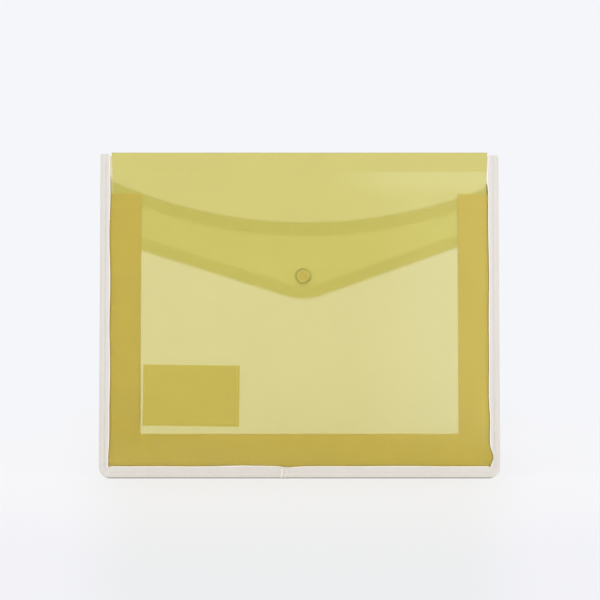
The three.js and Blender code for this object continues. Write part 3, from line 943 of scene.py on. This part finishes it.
# Snap: each piece is turned from a section of (radius, y)
def snap():
    low, high = depth_of("snap_cap")
    cap = [(0, low), (1, low), (1, high - 1.6), (7.0, high - 1.6), (7.4, high - 1.3), (7.3, high - 0.8)]
    cap += [(6.6, high - 0.25), (5.9, high), (4.2, high), (3.6, high - 0.15), (3.1, high - 0.42)]
    cap += [(0, high - 0.45)]
    low, high = depth_of("snap_socket")
    socket = [(0, high - 0.5), (2.8, high - 0.5), (2.8, low + 0.2), (3.0, low), (5.0, low)]
    socket += [(5.5, low + 0.3), (5.6, low + 0.7), (5.6, high), (0, high)]
    low, high = depth_of("snap_stud")
    stud = [(0, low), (5.6, low), (5.6, low + 0.35), (5.4, low + 0.5), (2.1, low + 0.5)]
    stud += [(2.0, low + 0.6), (2.4, low + 0.9), (2.3, high - 0.1), (2.0, high), (0, high)]
    low, high = depth_of("snap_back_cap")
    seat = FRONT_Y - FILM / 2 - 0.3
    back_cap = [(0, low + 0.4), (2.8, low + 0.4), (3.3, low + 0.15), (3.8, low), (5.4, low)]
    back_cap += [(6.0, low + 0.25), (6.2, low + 0.55), (6.2, seat), (1, seat), (1, high), (0, high)]
    pieces = (("cap", cap, "flap"), ("socket", socket, "flap"))
    pieces += (("stud", stud, "front"), ("back_cap", back_cap, "front"))
    for name, section, body in pieces:
        piece = turned_piece(f"snap_{name}_round", section)
        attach(dress(piece, plastic_finish, "snap", f"snap_{name}"), body)


back_sheet()
flap_sheet()
front_sheet()
mouth_hem()
gusset()
tapes()
pocket()
snap()


# Stage: camera, light, backdrop and floor. The camera and the lamps are placed in metres
VIEW_DISTANCE = 1.2
VIEW_RISE = math.radians(-2.1)
AIM_X, AIM_Z = 0.0005, 0.1662
MM_PER_PIXEL = 0.9345
PICTURE_WIDTH = 600
SENSOR_WIDTH = 36
FLOOR_REACH = 9000
FLOOR_GLOW = 0.8


def set_up(body, where, aim):
    """Puts a camera or a lamp somewhere and turns it towards a point."""
    bpy.context.scene.collection.objects.link(body)
    body.location = where
    body.rotation_euler = (Vector(aim) - Vector(where)).to_track_quat("-Z", "Y").to_euler()


def camera():
    body = bpy.data.objects.new("camera", bpy.data.cameras.new("camera"))
    target = Vector((AIM_X, cad_box[0][1], AIM_Z))
    back = Vector((0, -math.cos(VIEW_RISE), math.sin(VIEW_RISE)))
    set_up(body, target + VIEW_DISTANCE * back, target)
    body.data.sensor_width = SENSOR_WIDTH
    body.data.lens = SENSOR_WIDTH * VIEW_DISTANCE / (PICTURE_WIDTH * MM_PER_PIXEL * MM)
    body.data.clip_end = 50
    bpy.context.scene.camera = body


def lamp(name, where, aim, size, energy):
    light = bpy.data.lights.new(name, "AREA")
    light.shape = "RECTANGLE"
    light.size, light.size_y = size
    light.energy = energy
    set_up(bpy.data.objects.new(name, light), where, aim)


def backdrop():
    """The world is pale where the eye, a mirror or clear film shows it, and lights the rest evenly."""
    world = bpy.data.worlds.new("studio")
    bpy.context.scene.world = world
    world.use_nodes = True
    tree = world.node_tree
    tree.nodes.clear()
    path = tree.nodes.new("ShaderNodeLightPath")
    seen = tree.nodes.new("ShaderNodeBackground")
    seen.inputs["Color"].default_value = (0.913, 0.921, 0.955, 1)
    lit = tree.nodes.new("ShaderNodeBackground")
    lit.inputs["Color"].default_value = (0.9, 0.9, 0.9, 1)
    lit.inputs["Strength"].default_value = 0.98
    ray = path.outputs["Is Camera Ray"]
    for kind in ("Is Transmission Ray", "Is Glossy Ray"):
        either = tree.nodes.new("ShaderNodeMath")
        either.operation = "MAXIMUM"
        tree.links.new(ray, either.inputs[0])
        tree.links.new(path.outputs[kind], either.inputs[1])
        ray = either.outputs[0]
    mix = tree.nodes.new("ShaderNodeMixShader")
    tree.links.new(ray, mix.inputs[0])
    tree.links.new(lit.outputs[0], mix.inputs[1])
    tree.links.new(seen.outputs[0], mix.inputs[2])
    output = tree.nodes.new("ShaderNodeOutputWorld")
    tree.links.new(mix.outputs[0], output.inputs[0])


def lay_floor():
    """Keeps a soft shadow, and fades into the backdrop. Its colour is painted darker towards the viewer as
    painted falloff of light, and painted warmer and darker in front of the bag as a painted reflection and
    shadow of the bag, cooler on both sides of it."""
    r = FLOOR_REACH
    floor = add_mesh("floor", [(-r, -r, 0), (r, -r, 0), (r, r, 0), (-r, r, 0)], [(0, 1, 2, 3)])
    finish = Finish("pale_floor", Roughness=0.9, Specular_IOR_Level=0.1)
    x, y, _ = finish.place()
    # Painted falloff of light towards the viewer.
    nearer = finish.step(y, -80, -560)
    # Painted reflection and shadow of the bag in front of it, cooler to either side.
    aside = finish.step(finish.size(x) / (y * (MM / VIEW_DISTANCE) + 1), 140, 230)
    pale = finish.blend(aside, colour(0.9, 0.895, 0.885), colour(0.93, 0.932, 0.96))
    # The floor's tone towards the viewer, darkened as painted shade.
    painted_shade = finish.blend(aside, colour(0.835, 0.84, 0.85), colour(0.875, 0.877, 0.918))
    tone = finish.blend(nearer, pale, painted_shade)
    finish.vary(Base_Color=tone)
    glow = finish.node("ShaderNodeEmission", {"Color": tone, "Strength": 1.0})
    seen_directly = finish.node("ShaderNodeLightPath", output="Is Camera Ray")
    lit = finish.node("ShaderNodeMixShader", {0: seen_directly * FLOOR_GLOW, 2: glow})
    finish.tree.links.new(finish.shader.outputs[0], lit.socket.node.inputs[1])
    clear = finish.node("ShaderNodeBsdfTransparent")
    away = finish.step(length_of(x, y), 800, 1900)
    paled = finish.node("ShaderNodeMixShader", {0: away, 1: lit, 2: clear})
    finish.tree.links.new(paled.socket, finish.output.inputs[0])
    floor.data.materials.append(finish.material)


def stage():
    scene = bpy.context.scene
    scene.view_settings.view_transform = "Standard"
    scene.cycles.max_bounces = 48
    scene.cycles.transmission_bounces = 48
    scene.cycles.glossy_bounces = 32
    scene.cycles.diffuse_bounces = 32
    camera()
    lamp("soft_key", (-1.1, -1.6, 1.5), (0, 0, 0.15), (1.4, 1.4), 9)
    lamp("soft_fill", (1.2, -1.6, 0.5), (0, 0, 0.05), (1.4, 0.8), 9)
    backdrop()
    lay_floor()


stage()
